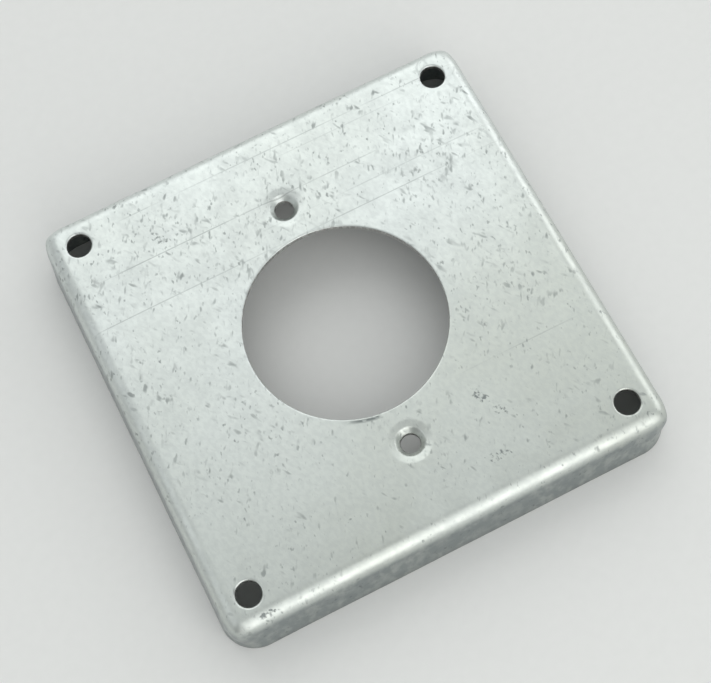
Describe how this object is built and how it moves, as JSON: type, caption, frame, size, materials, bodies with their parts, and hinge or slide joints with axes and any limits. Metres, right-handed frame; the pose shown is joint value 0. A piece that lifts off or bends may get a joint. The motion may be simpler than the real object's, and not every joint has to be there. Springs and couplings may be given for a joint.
{
  "type": "electrical box cover",
  "caption": "Square raised cover for an electrical box, one drawn steel pan with a round receptacle opening, corner box screw holes and formed device screw seats.",
  "frame": {"origin": "centre of the square rim that the cover rests on, in the rim's plane", "axes": "+Z out through the face, +Y through the two device screw holes, +X along the side of the square"},
  "size_m": [0.1278, 0.1278, 0.0175],
  "materials": {
    "galvanised_steel": "hot-dip galvanised sheet, light grey, matt, with fine dark flecks and light handling marks"
  },
  "bodies": {
    "root": {"cover": "galvanised_steel"}
  },
  "joints": []
}
